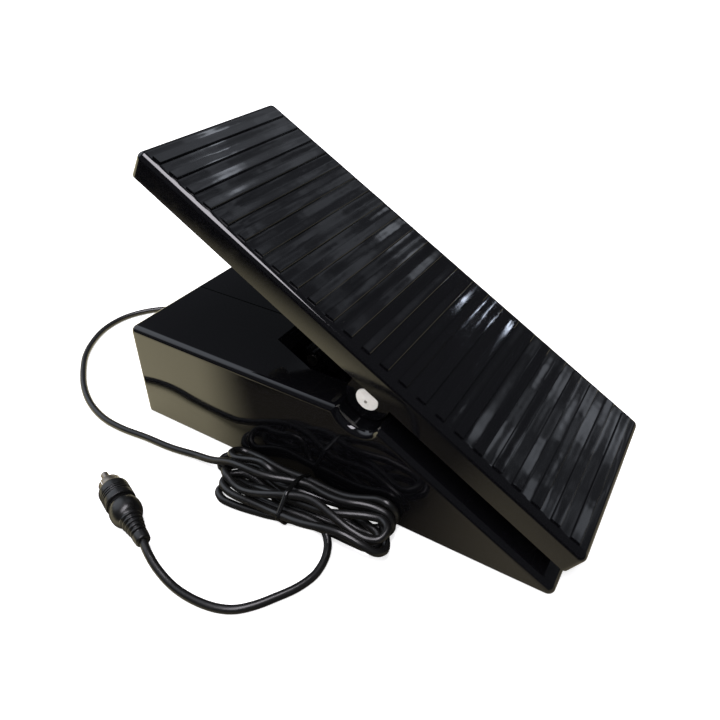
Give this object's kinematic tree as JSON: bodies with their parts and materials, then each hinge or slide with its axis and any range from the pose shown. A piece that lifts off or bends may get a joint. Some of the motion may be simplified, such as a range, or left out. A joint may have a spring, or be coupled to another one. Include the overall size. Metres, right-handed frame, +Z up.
{
  "type": "volume pedal",
  "caption": "Foot-operated volume pedal with a ribbed rocking treadle on a wedge-shaped moulded base, a geared potentiometer inside and a tied signal cord with a phono plug.",
  "frame": {"origin": "on the floor, under the centre of the pedal's bounding box without its cord", "axes": "+X to the player's right, +Y toward the toe end, +Z up"},
  "size_m": [0.155, 0.2901, 0.1342],
  "materials": {
    "abs_black": "polished black ABS, injection moulded",
    "zinc_steel": "zinc-plated sheet steel",
    "rubber": "soft black rubber",
    "nylon_white": "natural white nylon",
    "pot_metal": "plated metal can and shaft",
    "phenolic": "brown phenolic sheet",
    "pvc_black": "satin black PVC",
    "nickel": "nickel plate",
    "insulator": "black moulded insulator"
  },
  "bodies": {
    "base": {"base_half_left": "abs_black", "base_half_right": "abs_black", "bottom_plate": "zinc_steel", "base_screws": "zinc_steel", "foot_toe_left": "rubber", "foot_toe_right": "rubber", "foot_heel_left": "rubber", "foot_heel_right": "rubber", "pivot_pin_left": "nylon_white", "pivot_pin_right": "nylon_white", "pot_bracket": "zinc_steel", "bracket_screws": "zinc_steel", "pot_body": "pot_metal", "pot_wafer": "phenolic", "pot_tabs": "zinc_steel", "pot_nut": "zinc_steel", "cord_gland": "pvc_black", "cord_lead": "pvc_black", "cord_hank": "pvc_black", "cord_tail": "pvc_black", "hank_tie": "pvc_black", "plug_boot": "pvc_black", "plug_body": "pvc_black", "plug_shell": "nickel", "plug_insulator": "insulator", "plug_pin": "nickel"},
    "treadle": {"treadle": "abs_black", "gear_sector": "nylon_white", "sector_screws": "zinc_steel", "bumper_toe_left": "rubber", "bumper_toe_right": "rubber", "bumper_heel_left": "rubber", "bumper_heel_right": "rubber"},
    "pot_rotor": {"pot_shaft": "pot_metal", "pinion": "nylon_white"}
  },
  "joints": [
    {"name": "treadle_rock", "type": "hinge", "parent": "base", "child": "treadle", "pos_m": [0, -0.01599, 0.0517], "axis": [1, 0, 0], "range_deg": [-30, 0]},
    {"name": "pot_turn", "type": "hinge", "parent": "base", "child": "pot_rotor", "pos_m": [0, 0.03408, 0.03147], "axis": [1, 0, 0], "range_deg": [0, 240]}
  ],
  "couplings": [
    {"joint": "pot_turn", "follows": "treadle_rock", "ratio": -8}
  ]
}
